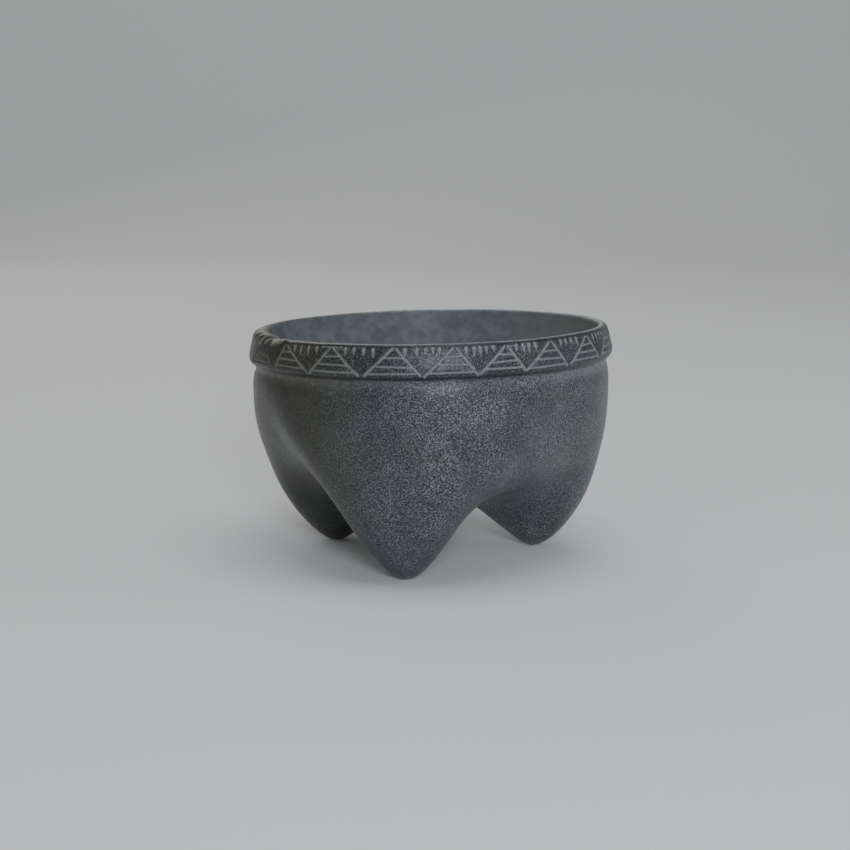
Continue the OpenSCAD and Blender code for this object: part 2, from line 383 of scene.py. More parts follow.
@dataclass
class Incisions:
    """All the cuts round the band.

    The front ones are measured; the rest go round at the same pace, each a little unlike the last.
    """

    band_r: float = 99.5
    lip_at: float = -157.0
    lip_half: float = 16.0
    hidden: int = 11
    row_end: float = 190.5
    tick_pitch: float = 2.5
    margin: float = 2.5
    fresh_from: float = 0.35
    measured: tuple[Pyramid, ...] = (
        Pyramid(-155.1, -163.5, -147.8, (9.4, 13.4), top=6.4, base=14.8, gap=2.9),
        Pyramid(-140.1, -144.6, -130.2, (5.7, 9.6, 13.3), top=2.2, base=15.0),
        Pyramid(-120.9, -128.4, -112.1, (6.2, 10.4, 14.0)),
        Pyramid(-100.6, -109.3, -93.4, (6.4, 10.9, 14.4), top=1.7),
        Pyramid(-82.6, -91.5, -76.6, (6.1, 10.0, 14.1), top=1.9, base=15.6),
        Pyramid(-66.7, -74.9, -61.6, (6.3, 9.8, 13.2), top=2.3, base=14.8),
        Pyramid(-50.6, -60.2, -45.4, (6.6, 10.4, 14.2), top=2.1, base=14.9),
        Pyramid(-32.9, -42.8, -27.2, (6.2, 9.9, 13.3), top=2.0, base=14.2),
        Pyramid(-15.8, -24.5, -9.0, (6.1, 9.9, 13.4), top=2.0, base=14.3),
    )
    measured_ticks: tuple[float, ...] = (
        -135.7, -133.0, -129.8, -126.6, -116.1, -113.3, -110.1, -107.1, -97.4, -93.9, -91.2, -89.2, -87.2,
        -79.3, -76.9, -75.1, -73.1, -70.9, -63.3, -61.1, -58.9, -56.6, -46.4, -44.2, -41.6, -38.8,
        -28.4, -25.9, -23.4, -20.9,
    )
    cuts: list[Cut] = field(default_factory=list)

    def _pace(self) -> float:
        """Degrees from one pyramid to the next, out of sight behind."""
        return (self.row_end - self.measured[-1].apex) / (self.hidden + 1)

    def _hidden_pyramid(self, i: int) -> Pyramid:
        """One of the pyramids behind, a little unlike the others.

        Args:
            i: Its number, from 1.

        Returns:
            The pyramid.
        """
        apex = self.measured[-1].apex + i * self._pace() + 0.9 * math.sin(4.7 * i)
        half = 7.6 + 0.5 * math.sin(2.9 * i + 1)
        shift = 0.6 * math.sin(3.7 * i)
        bars = (6.2 + 0.2 * math.sin(i), 10.1 + 0.2 * math.sin(2 * i), 13.8)
        base = 14.9 + 0.4 * math.sin(i)
        return Pyramid(apex, apex - half + shift, apex + half + shift, bars, base=base)

    def _hidden_ticks(self, i: int) -> list[float]:
        """Directions of the four or five ticks that follow a pyramid behind.

        Args:
            i: The pyramid's number, 0 for the last measured one.

        Returns:
            The directions in degrees.
        """
        middle = self.measured[-1].apex + (i + 0.5) * self._pace()
        count = 4 + i % 2
        first = (count - 1) / 2
        return [middle + (j - first) * self.tick_pitch + 0.3 * math.sin(5 * i + 3 * j) for j in range(count)]

    def plan(self) -> None:
        """Lists every cut."""
        pyramids = list(self.measured)
        pyramids += [self._hidden_pyramid(i) for i in range(1, self.hidden + 1)]
        ticks = list(self.measured_ticks)
        for i in range(self.hidden + 1):
            ticks += self._hidden_ticks(i)
        self.cuts = [cut for pyramid in pyramids for cut in pyramid.cuts()]
        for i, at in enumerate(ticks):
            if abs(turn_between(np.array(at), self.lip_at)) < self.lip_half:
                continue
            length = 3.6 + 0.9 * math.sin(7.3 * i)
            end = at + 0.25 * math.sin(3.1 * i)
            self.cuts.append(Cut(Mark.TICK, (at, 2.3), (end, 1.9 + length)))
        self.cuts.append(Cut(Mark.SCRATCH, (-124.8, 1.7), (-117.5, 1.5)))
        log.info("band: %d pyramids, %d cuts", len(pyramids), len(self.cuts))

    def depth(self, degrees: Array, drop: Array) -> tuple[Array, Array]:
        """How deep the band is cut.

        Args:
            degrees: Directions round the band.
            drop: Depths below the crest.

        Returns:
            The cut depth in millimetres, and how fresh the cut's face is, from 0 to 1.
        """
        deep, fresh = np.zeros_like(drop), np.zeros_like(drop)
        scale = math.radians(1) * self.band_r
        for cut in self.cuts:
            full, w0, w1 = cut.kind.value
            (a0, d0), (a1, d1) = cut.start, cut.end
            x = turn_between(degrees, a0) * scale
            reach = abs(a1 - a0) * scale + self.margin
            upper, lower = min(d0, d1) - self.margin, max(d0, d1) + self.margin
            lot = (np.abs(x) < reach) & (drop > upper) & (drop < lower)
            px, py = x[lot], drop[lot] - d0
            ex, ey = (a1 - a0) * scale, d1 - d0
            t = np.clip((px * ex + py * ey) / (ex * ex + ey * ey), 0, 1)
            away = np.hypot(px - t * ex, py - t * ey) / (w0 + (w1 - w0) * t)
            deep[lot] = np.maximum(deep[lot], full * (1 - smooth(0.0, 1.0, away)))
            fresh[lot] = np.maximum(fresh[lot], 1 - smooth(self.fresh_from, 1.0, away))
        return deep, fresh


@dataclass(frozen=True)
class LipFolds:
    """The worn lip: a thicker rim whose crest is crossed by slanting finger-wide folds."""

    at: float = -153.0
    half: float = 12.0
    pitch: float = 5.2
    slant: float = 1.0
    ridge: float = 0.85
    swell: float = 0.55
    pad_at: float = -145.1
    pad: float = 1.5
    pad_drop: float = 2.9
    pad_slant: float = 0.4
    pad_half: Pair = (3.9, 1.9)
    dip: float = 1.3
    dip_at: float = -147.0
    dip_half: float = 5.5
    thick: float = 3.0
    thick_at: float = -174.0
    thick_half: float = 17.0

    def push(self, degrees: Array, across: Array) -> Array:
        """Outward push of the skin.

        Args:
            degrees: Directions round the rim.
            across: Distance over the crest, negative inside the hollow and positive outside.

        Returns:
            Millimetres, negative where the skin sinks.
        """
        x = turn_between(degrees, self.at)
        round_it = smooth(-self.half - 3, -self.half + 1.5, x) * (1 - smooth(5.5, 9.0, x))
        over_it = smooth(-4.6, -1.2, across) * (1 - smooth(4.4, 6.0, across + 0.12 * x))
        phase = (x + self.slant * across) / self.pitch + 0.13 * np.sin(0.55 * x + 0.8)
        ridge = self.ridge * (0.82 + 0.26 * np.sin(0.47 * x + 1.6))
        wave = np.cos(2 * math.pi * (phase - 0.1))
        folds = round_it * over_it * (ridge * wave + self.swell)
        aside = turn_between(degrees, self.pad_at)
        down = across - (self.pad_drop - self.pad_slant * aside)
        half_x, half_y = self.pad_half
        share = np.exp(-((aside / half_x) ** 4)) * np.exp(-((down / half_y) ** 4))
        return folds * (1 - share) + self.pad * share

    def fall(self, degrees: Array, across: Array) -> Array:
        """How far the crest is worn down."""
        worn = np.exp(-((turn_between(degrees, self.dip_at) / self.dip_half) ** 2))
        return self.dip * worn * (1 - smooth(1.0, 5.5, across)) * smooth(-14.0, -6.0, across)

    def inward(self, degrees: Array, across: Array) -> Array:
        """How far the thicker rim reaches into the hollow."""
        near = np.exp(-((turn_between(degrees, self.thick_at) / self.thick_half) ** 2))
        return self.thick * near * (1 - smooth(-2.5, 2.5, across)) * smooth(-34.0, -5.0, across)


# ---- one skin from rings


@dataclass(frozen=True)
class Curve:
    """A smooth curve through (radius, depth) points."""

    points: Array
    run: Array
    slope: Array

    @classmethod
    def through(cls, outline: tuple[Pair, ...]) -> "Curve":
        """The curve through an outline's points."""
        points = np.array(outline)
        run = run_along(points)
        return cls(points, run, np.gradient(points, run, axis=0))

    def at(self, s: float) -> tuple[Pair, Pair]:
        """Place at a distance along the curve, and the way out of the stone there.

        Args:
            s: The distance.

        Returns:
            (radius, depth) of the place, and (outward, upward) parts of the way out.
        """
        i = int(np.clip(np.searchsorted(self.run, s) - 1, 0, len(self.run) - 2))
        h = self.run[i + 1] - self.run[i]
        t = (s - self.run[i]) / h
        a, b = 2 * t**3 - 3 * t**2 + 1, t**3 - 2 * t**2 + t
        c, d = -2 * t**3 + 3 * t**2, t**3 - t**2
        place = a * self.points[i] + b * h * self.slope[i]
        place = place + c * self.points[i + 1] + d * h * self.slope[i + 1]
        way = (1 - t) * self.slope[i] + t * self.slope[i + 1]
        way = way / np.hypot(*way)
        return (float(place[0]), float(place[1])), (float(way[1]), float(way[0]))


@dataclass
class Skin:
    """A closed skin built ring by ring, with values kept for each point."""

    points: list[Array] = field(default_factory=list)
    values: list[Array] = field(default_factory=list)
    faces: list[Array] = field(default_factory=list)
    count: int = 0
    last: Array | None = None
    sample: int = 4000
    low_z: float = 90.0

    def ring(self, points: Array, values: Array) -> None:
        """Adds a ring and joins it to the last one.

        Args:
            points: N x 3 points; N is 1 for a pole.
            values: N x K values.
        """
        ids = np.arange(self.count, self.count + len(points))
        self.points.append(points)
        self.values.append(values)
        self.count += len(points)
        if self.last is not None:
            self._join(self.last, ids)
        self.last = ids

    def _join(self, a: Array, b: Array) -> None:
        """Joins two rings of equal count, of counts four to one, or a ring and a pole."""
        if len(a) == len(b):
            self.faces.append(np.stack([a, b, np.roll(b, -1), np.roll(a, -1)], -1))
        elif len(a) == 1:
            self.faces.append(np.stack([np.full(len(b), a[0]), b, np.roll(b, -1)], -1))
        elif len(b) == 1:
            self.faces.append(np.stack([a, np.full(len(a), b[0]), np.roll(a, -1)], -1))
        elif len(b) > len(a):
            self._fan(a, b, flip=False)
        else:
            self._fan(b, a, flip=True)

    def _fan(self, few: Array, many: Array, flip: bool) -> None:
        """Joins a ring to one with several times as many points.

        Args:
            few, many: Numbers of the two rings' points.
            flip: Whether the fine ring comes first.
        """
        k = len(many) // len(few)
        i = np.arange(len(few))
        nxt = few[(i + 1) % len(few)]
        tris = []
        for j in range(k):
            m0, m1 = many[i * k + j], many[(i * k + j + 1) % len(many)]
            tris.append(np.stack([few if j < k // 2 else nxt, m0, m1], -1))
        tris.append(np.stack([few, many[i * k + k // 2], nxt], -1))
        for tri in tris:
            self.faces.append(tri[:, ::-1] if flip else tri)

    def _inside_out(self, points: Array, faces: list[tuple[int, ...]]) -> bool:
        """Whether the faces look inwards, judged from some of those low on the outside.

        Args:
            points, faces: All of them.

        Returns:
            True if the faces need turning over.
        """
        middle = points.mean(0)
        outward = 0.0
        for f in faces[:: max(1, len(faces) // self.sample)]:
            a, b, c = points[f[0]], points[f[1]], points[f[2]]
            if a[2] < self.low_z:
                outward += float(np.dot(np.cross(b - a, c - a), a - middle))
        return outward < 0

    def mesh(self, name: str) -> bpy.types.Object:
        """Makes the object, in metres.

        Args:
            name: The object's name.

        Returns:
            The new object.
        """
        points = np.concatenate(self.points)
        faces = [tuple(int(v) for v in f) for block in self.faces for f in block]
        if self._inside_out(points, faces):
            faces = [f[::-1] for f in faces]
        mesh = bpy.data.meshes.new(name)
        mesh.from_pydata((points * MM).tolist(), [], faces)
        mesh.update()
        mesh.shade_smooth()
        values = np.concatenate(self.values).astype(np.float32)
        for column, layer in enumerate(LAYERS):
            kept = mesh.attributes.new(layer, "FLOAT", "POINT")
            kept.data.foreach_set("value", np.ascontiguousarray(values[:, column]))
        made = bpy.data.objects.new(name, mesh)
        bpy.context.scene.collection.objects.link(made)
        log.info("%s: %d points, %d faces", name, len(points), len(faces))
        return made


# ---- finishes


class Grain(Enum):
    """Noises of the finish, by how many lumps there are in a metre."""

    PATCH = 22.0
    DENSITY = 55.0
    CLOUD = 75.0
    MOTTLE = 130.0
    SWELL = 180.0
    WEAR = 260.0
    SPECK = 700.0
    GRIT = 900.0
    PIT = 1400.0
    STRETCHED = 1.0


@dataclass(frozen=True)
class Nodes:
    """Short ways of making shader nodes in one tree."""

    tree: bpy.types.NodeTree

    def make(self, kind: str, **inputs: object) -> bpy.types.Node:
        """Makes a node and sets its sockets.

        Args:
            kind: The node's type name.
            inputs: Socket names, with _ for a blank, each a value or another node's socket.

        Returns:
            The node.
        """
        node = self.tree.nodes.new(kind)
        for key, value in inputs.items():
            self.put(node.inputs[key.replace("_", " ")], value)
        return node

    def put(self, socket: bpy.types.NodeSocket, value: object) -> None:
        """Links a socket to another, or sets its value."""
        if isinstance(value, bpy.types.NodeSocket):
            self.tree.links.new(value, socket)
        else:
            socket.default_value = value

    def noise(self, where: object, grain: Grain, detail: float = 2.0, rough: float = 0.5) -> Socket:
        """Value of a noise."""
        scale = grain.value
        made = self.make("ShaderNodeTexNoise", Vector=where, Scale=scale, Detail=detail, Roughness=rough)
        return made.outputs[0]

    def step(
        self, value: object, low: float, high: float, to_low: float = 0.0, to_high: float = 1.0
    ) -> Socket:
        """Smooth change from one value to another.

        Args:
            value: What drives the change.
            low, high: Where it starts and ends; it may run downwards.
            to_low, to_high: The values there.

        Returns:
            The changing value.
        """
        node = self.tree.nodes.new("ShaderNodeMapRange")
        node.interpolation_type = "SMOOTHSTEP"
        for i, v in enumerate((value, low, high, to_low, to_high)):
            self.put(node.inputs[i], v)
        return node.outputs[0]

    def math(self, operation: str, a: object, b: object = 0.0) -> Socket:
        """One sum."""
        node = self.tree.nodes.new("ShaderNodeMath")
        node.operation = operation
        self.put(node.inputs[0], a)
        self.put(node.inputs[1], b)
        return node.outputs[0]

    def times(self, a: object, b: object) -> Socket:
        """Product of two values."""
        return self.math("MULTIPLY", a, b)

    def plus(self, a: object, b: object) -> Socket:
        """Sum of two values."""
        return self.math("ADD", a, b)

    def less(self, value: object, share: float) -> Socket:
        """One, less a share of a value."""
        return self.math("SUBTRACT", 1.0, self.times(value, share))

    def mix(self, share: object, a: object, b: object) -> Socket:
        """Mix of two colours."""
        node = self.tree.nodes.new("ShaderNodeMix")
        node.data_type = "RGBA"
        for i, v in ((0, share), (6, a), (7, b)):
            self.put(node.inputs[i], v)
        return node.outputs[2]

    def mix_value(self, share: object, a: object, b: object) -> Socket:
        """Mix of two numbers."""
        node = self.tree.nodes.new("ShaderNodeMix")
        for i, v in ((0, share), (2, a), (3, b)):
            self.put(node.inputs[i], v)
        return node.outputs[0]

    def value(self, name: str) -> Socket:
        """A value kept on the mesh."""
        node = self.tree.nodes.new("ShaderNodeAttribute")
        node.attribute_name = name
        return node.outputs["Fac"]

    def streaks(self, where: object, spin: Triple, low: float, high: float) -> Socket:
        """Short needles that lie one way.

        Args:
            where: Place socket, in metres.
            spin: Turn of the needles, in radians.
            low, high: Noise values at which a needle begins and is full.

        Returns:
            Share from 0 to 1.
        """
        turned = self.make("ShaderNodeMapping", Vector=where, Rotation=spin)
        drawn = self.make("ShaderNodeMapping", Vector=turned.outputs[0], Scale=NEEDLE_SCALE)
        return self.step(self.noise(drawn.outputs[0], Grain.STRETCHED, 1.0, 0.4), low, high)


@dataclass(frozen=True)
class SkinValues:
    """What a finish knows about each place on the skin, and the maker of its nodes."""

    n: Nodes
    where: Socket
    sideways: Socket
    # share of the left side: drives painted shade and warm painted light there
    left: Socket
    end: Socket
    grit: Socket
    cut: Socket
    rubbed: Socket
    inner: Socket
    band: Socket
    # painted shade: a dark line under the band's lower edge and one just below the crest
    grime: Socket


@dataclass(frozen=True)
class Basalt:
    """Dark basalt with fine pale needles, paler where it is cut or rubbed, with a painted highlight on the
    crest and painted sheen on the neck.

    Towards the left it is painted darker and warmer, as painted shade with warm painted light: an olive
    ground, darker needles, cuts and rubbed places, fewer needles, and a darker ground still near the far
    left edge. It fades at the far left end; the fades are in metres across.
    """

    name: str
    cool: Colour = (0.025, 0.033, 0.0405, 1.0)
    olive: Colour = (0.033, 0.035, 0.028, 1.0)
    needle: Colour = (0.33, 0.355, 0.37, 1.0)
    # needles on the left side: darker and warmer, painted shade
    needle_in_shade: Colour = (0.2, 0.205, 0.175, 1.0)
    fresh: Colour = (0.25, 0.268, 0.268, 1.0)
    # cuts on the left side: darker, painted shade
    fresh_in_shade: Colour = (0.165, 0.168, 0.142, 1.0)
    # pale colour of rubbed places: real wear on the feet, lip and hand stone, painted highlight on the crest
    # and painted sheen on the neck
    worn: Colour = (0.42, 0.445, 0.45, 1.0)
    # rubbed places on the left side: darker, painted shade
    worn_in_shade: Colour = (0.2, 0.202, 0.165, 1.0)
    faint: Colour = (0.1, 0.102, 0.082, 1.0)
    hollow_dark: Colour = (0.1, 0.112, 0.122, 1.0)
    hollow_pale: Colour = (0.148, 0.164, 0.178, 1.0)
    hollow_right: Colour = (0.165, 0.172, 0.155, 1.0)
    needles: float = 0.9
    gloss: float = 0.36
    shine: float = 0.42
    # where the painted shade and warm painted light on the left side begin and are full
    left_shade_fade: Pair = (0.01, -0.085)
    end_fade: Pair = (-0.074, -0.096)
    far_left_shade_fade: Pair = (-0.058, -0.084)
    # where the painted shade at the far left edge begins and is full
    right_fade: Pair = (0.02, 0.085)
    spins: tuple[Triple, ...] = ((0.3, 0.2, 0.0), (0.2, 1.0, 0.5), (0.3, -1.1, 2.1), (1.4, 0.3, 1.2))
    needle_noise: Pair = (0.61, 0.69)

    def _read(self, n: Nodes) -> SkinValues:
        """The skin's layers, and how far to the left each place lies."""
        where = n.make("ShaderNodeTexCoord").outputs["Object"]
        sideways = n.make("ShaderNodeSeparateXYZ", Vector=where).outputs[0]
        return SkinValues(
            n=n,
            where=where,
            sideways=sideways,
            left=n.step(sideways, *self.left_shade_fade),
            end=n.step(sideways, *self.end_fade),
            grit=n.step(n.noise(where, Grain.GRIT), 0.3, 0.7, 0.75, 1.25),
            **{layer: n.value(layer) for layer in LAYERS},
        )

    def _ground(self, on: SkinValues) -> Socket:
        """Colour of the dark stone between the needles.

        Args:
            on: The skin's values.

        Returns:
            The colour.
        """
        n = on.n
        patch = n.step(n.noise(on.where, Grain.PATCH, 3.0), 0.35, 0.65)
        # ground turns olive towards the left: painted warm light in the painted shade
        tone = n.plus(patch, n.times(on.left, 1.1))
        ground = n.mix(n.step(tone, 0.2, 1.9), self.cool, self.olive)
        shade = n.step(n.noise(on.where, Grain.CLOUD, 4.0, 0.6), 0.3, 0.7, 0.86, 1.14)
        shade = n.times(shade, on.grit)
        # painted shade: the ground down to 60% towards the far left edge
        shade = n.times(shade, n.step(on.sideways, *self.far_left_shade_fade, 1.0, 0.6))
        shade = n.times(shade, n.less(n.times(on.band, n.less(on.end, 1.0)), 0.4))
        shade = n.times(shade, n.plus(1.0, n.times(on.end, 0.9)))
        # painted shadow: the ground darker under the band's lower edge and just below the crest
        shade = n.times(shade, n.less(on.grime, 0.55))
        shaded = n.make("ShaderNodeVectorMath", Vector=ground)
        shaded.operation = "SCALE"
        n.put(shaded.inputs["Scale"], shade)
        return shaded.outputs[0]

    def _marks(self, on: SkinValues) -> Socket:
        """Share of needle at each place, less in the hollow, on the band, in the painted shade under the
        band and crest, and on the left side where shade is painted.

        Args:
            on: The skin's values.

        Returns:
            Share from 0 to 1.
        """
        n = on.n
        lots = [n.streaks(on.where, spin, *self.needle_noise) for spin in self.spins]
        marks = lots[0]
        for lot in lots[1:]:
            marks = n.math("MAXIMUM", marks, lot)
        dense = n.step(n.noise(on.where, Grain.DENSITY), 0.35, 0.7, 0.62, 1.0)
        # fewer needles towards the left on the body, in the painted shade, and towards the far left end on
        # the band
        quiet = n.less(n.mix_value(on.band, on.left, on.end), 0.72)
        quiet = n.math("SUBTRACT", quiet, n.times(on.inner, 0.8))
        # fewer needles on the band and in the painted shade under the band and crest
        quiet = n.math("SUBTRACT", quiet, n.times(n.plus(on.band, on.grime), 0.42))
        marks = n.times(n.times(marks, dense), n.times(quiet, self.needles))
        return n.math("MAXIMUM", marks, 0.0)

    def _colour(self, on: SkinValues, marks: Socket) -> Socket:
        """Colour of the stone: ground, needles, hollow, rubbed places with painted highlight and sheen, and
        cuts, one over the other.

        Args:
            on: The skin's values.
            marks: Share of needle.

        Returns:
            The colour.
        """
        n = on.n
        # needles darker and warmer towards the left: painted shade
        colour = n.mix(marks, self._ground(on), n.mix(on.left, self.needle, self.needle_in_shade))
        mottle = n.step(n.noise(on.where, Grain.MOTTLE, 3.0, 0.6), 0.35, 0.65)
        hollow = n.mix(mottle, self.hollow_dark, self.hollow_pale)
        hollow = n.mix(n.step(on.sideways, *self.right_fade, 0.0, 0.72), hollow, self.hollow_right)
        colour = n.mix(n.times(on.inner, 0.85), colour, hollow)
        wear = n.step(n.noise(on.where, Grain.WEAR, 3.0), 0.25, 0.65, 0.55, 1.0)
        # rubbed places paler: real wear, plus painted highlight on the crest and painted sheen on the neck
        colour = n.mix(n.times(on.rubbed, wear), colour, n.mix(on.left, self.worn, self.worn_in_shade))
        speck = n.step(n.noise(on.where, Grain.SPECK), 0.3, 0.7, 0.6, 1.0)
        # cuts darker towards the left, as painted shade, and faint at the far left end
        fresh = n.mix(on.end, n.mix(on.left, self.fresh, self.fresh_in_shade), self.faint)
        return n.mix(n.times(on.cut, speck), colour, fresh)

    def _dullness(self, on: SkinValues) -> Socket:
        """Roughness, more in the cuts and in the hollow."""
        n = on.n
        dull = n.plus(self.gloss, n.times(n.plus(on.cut, n.times(on.inner, 0.5)), 0.25))
        return n.plus(dull, n.step(on.grit, 0.8, 1.2, -0.06, 0.06))

    def _relief(self, on: SkinValues, marks: Socket) -> Socket:
        """Fine relief of pits, swellings and needles.

        Args:
            on: The skin's values.
            marks: Share of needle.

        Returns:
            The normal.
        """
        n = on.n
        pits = n.noise(on.where, Grain.PIT, 2.0, 0.6)
        swellings = n.noise(on.where, Grain.SWELL, 3.0)
        height = n.plus(n.times(pits, 0.35), n.times(swellings, 0.9))
        height = n.plus(height, n.times(marks, 0.15))
        return n.make("ShaderNodeBump", Height=height, Distance=0.00022, Strength=0.8).outputs[0]

    def build(self) -> bpy.types.Material:
        """Makes the finish.

        Returns:
            The material.
        """
        material = bpy.data.materials.new(self.name)
        material.use_nodes = True
        material.node_tree.nodes.clear()
        n = Nodes(material.node_tree)
        on = self._read(n)
        marks = self._marks(on)
        shader = n.make(
            "ShaderNodeBsdfPrincipled",
            Base_Color=self._colour(on, marks),
            Roughness=self._dullness(on),
            Normal=self._relief(on, marks),
            Specular_IOR_Level=self.shine,
            IOR=1.42,
        )
        out = n.make("ShaderNodeOutputMaterial", Surface=shader.outputs[0])
        out.is_active_output = True
        log.info("finish %s made", self.name)
        return material


@dataclass(frozen=True)
class PaleFloor:
    """A plain pale floor."""

    name: str = "pale_floor"
    colour: Colour = (0.85, 0.85, 0.85, 1.0)
    roughness: float = 0.9

    def build(self) -> bpy.types.Material:
        """Makes the finish.

        Returns:
            The material.
        """
        material = bpy.data.materials.new(self.name)
        material.use_nodes = True
        shader = material.node_tree.nodes["Principled BSDF"]
        shader.inputs["Base Color"].default_value = self.colour
        shader.inputs["Roughness"].default_value = self.roughness
        return material


# ---- the pieces


@dataclass
class Mortar:
    """The three-footed block: hollow, crest, incised band, bowl and feet."""

    form: StoneForm = StoneForm()
    folds: LipFolds = LipFolds()
    incisions: Incisions = field(default_factory=Incisions)
    crest_r: float = 93.0
    hollow_floor: float = 56.0
    columns: int = 300
    band_columns: int = 1200
    body_rings: int = 58
    hollow_rings: int = 26
    crest_rings: int = 8
    neck_rings: int = 6
    # the rings that carry the cuts: how close they lie, and from where to where past the crest
    fine_step: float = 0.37
    fine: Pair = (1.4, 18.4)
    # outline from the hollow's edge over the crest and down the band to the neck: (radius, depth)
    outline: tuple[Pair, ...] = (
        (92.05, 3.2), (92.3, 1.9), (92.65, 0.9), (93.3, 0.25), (94.1, 0.0), (95.1, 0.15), (96.2, 0.65),
        (97.1, 1.7), (97.75, 3.3), (98.35, 5.5), (98.95, 8.0), (99.5, 10.5), (99.9, 12.8), (99.95, 14.6),
        (99.4, 16.2), (98.3, 17.3), (97.3, 18.3), (96.75, 19.4), (96.65, 20.6), (96.9, 21.6),
    )
    crest_point: int = 4
    edge_run: float = 4.2
    hollow_lumps: Lumps = Lumps((34.0, 7.0, 0.35), (9.0, 3.0, 0.1))
    band_lumps: Lumps = Lumps((28.0, 1.0, 0.22), (7.0, 5.0, 0.07))
    body_lumps: Lumps = Lumps((36.0, 11.0, 0.42), (11.0, 2.0, 0.14))

    def build(self) -> bpy.types.Object:
        """Builds the stone.

        Returns:
            The new object.
        """
        self.incisions.plan()
        skin = Skin()
        self._hollow(skin)
        self._band(skin)
        self._outside(skin)
        return skin.mesh("mortar_stone")

    def hollow_ball(self) -> Pair:
        """Radius of the ball that the hollow is cut with, and its centre's height."""
        deep = self.form.rim_h - self.hollow_floor
        ball_r = (self.crest_r**2 + deep**2) / (2 * deep)
        return ball_r, self.hollow_floor + ball_r

    def _turns(self, count: int) -> Array:
        """Directions of the lines, in radians."""
        return np.arange(count) * (2 * math.pi / count)

    def _hollow(self, skin: Skin) -> None:
        """Adds the bowl that food is ground in, from its lowest point up to the crest."""
        ball_r, ball_z = self.hollow_ball()
        edge_r, edge_drop = self.outline[0]
        edge = math.asin(edge_r / ball_r)
        turn = self._turns(self.columns)
        for i in range(self.hollow_rings):
            a = edge * (i / self.hollow_rings)
            one = turn if i else turn[:1]
            r = np.full_like(one, ball_r * math.sin(a))
            level = np.full_like(one, ball_z - ball_r * math.cos(a))
            if i:
                across = edge_drop - self.edge_run - (self.form.rim_h - level)
                degrees = np.degrees(one)
                r = r - self.folds.push(degrees, across) - self.folds.inward(degrees, across)
                lumps = self.hollow_lumps.at(np.stack([r * np.cos(one), r * np.sin(one), level], -1))
                r = r + lumps * math.sin(a)
                level = level + lumps * math.cos(a) - self.folds.fall(degrees, across)
            made = self.form.lean.place(r * np.cos(one), r * np.sin(one), level)
            skin.ring(made, layered(len(one), inner=1.0))

    def _band(self, skin: Skin) -> None:
        """Adds the crest and the band with its cuts."""
        curve = Curve.through(self.outline)
        crest, end = curve.run[self.crest_point], curve.run[-1]
        fine = np.arange(crest + self.fine[0], crest + self.fine[1], self.fine_step)
        over = np.linspace(0, crest + 1.0, self.crest_rings)
        under = np.linspace(fine[-1] + 0.7, end, self.neck_rings)
        turn = self._turns(self.band_columns)
        degrees = np.degrees(turn)
        for s in np.concatenate([over, fine, under]):
            (r, drop), (out, up) = curve.at(s)
            drops = np.full_like(turn, drop)
            across = np.full_like(turn, s - crest)
            deep, fresh = self.incisions.depth(degrees, drops) if s > crest else (drops * 0, drops * 0)
            flat = np.stack([r * np.cos(turn), r * np.sin(turn), self.form.rim_h - drops], -1)
            raised = self.folds.push(degrees, across)
            push = raised - deep + self.band_lumps.at(flat)
            radius = r + push * out - self.folds.inward(degrees, across)
            z = self.form.rim_h - drop + push * up - self.folds.fall(degrees, across)
            made = self.form.lean.place(radius * np.cos(turn), radius * np.sin(turn), z)
            skin.ring(made, self._band_values(degrees, drops, across, fresh, raised))

    def _band_values(
        self, degrees: Array, drop: Array, across: Array, fresh: Array, raised: Array
    ) -> Array:
        """Values for the finish on one ring of the band.

        Args:
            degrees: Directions round the band.
            drop: Depths below the crest.
            across: Distances over the crest.
            fresh: How fresh each cut is.
            raised: How far the lip's folds stand out.

        Returns:
            The values of the ring's points.
        """
        lip = np.exp(-((turn_between(degrees, self.folds.at) / 12.0) ** 2))
        # pale line along the crest: partly real wear, partly painted highlight; the raised lip folds are
        # paler with wear
        rubbed = np.exp(-(((across + 0.1) / 1.15) ** 2)) * (1 - 0.6 * lip)
        rubbed = rubbed + np.clip(raised - 0.4, 0.0, 1.0) * 0.9 + self._neck(degrees, drop)
        # painted shadow under the band's lower edge, and a painted shade line just below the crest
        shadow_under_band = np.exp(-(((drop - 17.4) / 0.85) ** 2))
        shade_under_crest = 0.9 * np.exp(-(((across - 2.8) / 0.7) ** 2)) * (1 - lip)
        return layered(
            len(degrees),
            cut=fresh,
            rubbed=np.clip(rubbed, 0, 1),
            inner=(1 - smooth(-3.0, 0.3, across)) * (1 - 0.8 * lip),
            band=smooth(1.0, 2.5, across) * (1 - smooth(17.2, 18.6, drop)),
            grime=shadow_under_band + shade_under_crest,
        )

    def _neck(self, degrees: Array, drop: Array) -> Array:
        """How pale the smooth neck is, partly rubbed polish and partly painted sheen, less at the front than
        at the sides.
        """
        amount = 0.09 + 0.19 * smooth(22.0, 62.0, np.abs(turn_between(degrees, -88.0)))
        return amount * smooth(18.2, 19.6, drop) * (1 - smooth(21.0, 25.5, drop))

    def _outside(self, skin: Skin) -> None:
        """Adds the wall, the feet and the underside, with closer rings at the neck and beneath."""
        turn = self._turns(self.columns)
        t = (np.arange(self.body_rings) + 0.6) / self.body_rings
        places = np.clip(t - 0.05 * np.sin(2 * math.pi * t), 0.0, 1.0)
        for ring in self.form.trace(turn, places):
            hold = smooth(1.0, 9.0, ring[:, 2])
            away = ring / np.maximum(np.linalg.norm(ring, axis=1, keepdims=True), 1.0)
            made = ring + away * (self.body_lumps.at(ring) * hold)[:, None]
            made[:, 2] = np.maximum(made[:, 2], 0.0)
            drop = self.form.rim_h + self.form.lean.rise(made[:, 0], made[:, 1]) - made[:, 2]
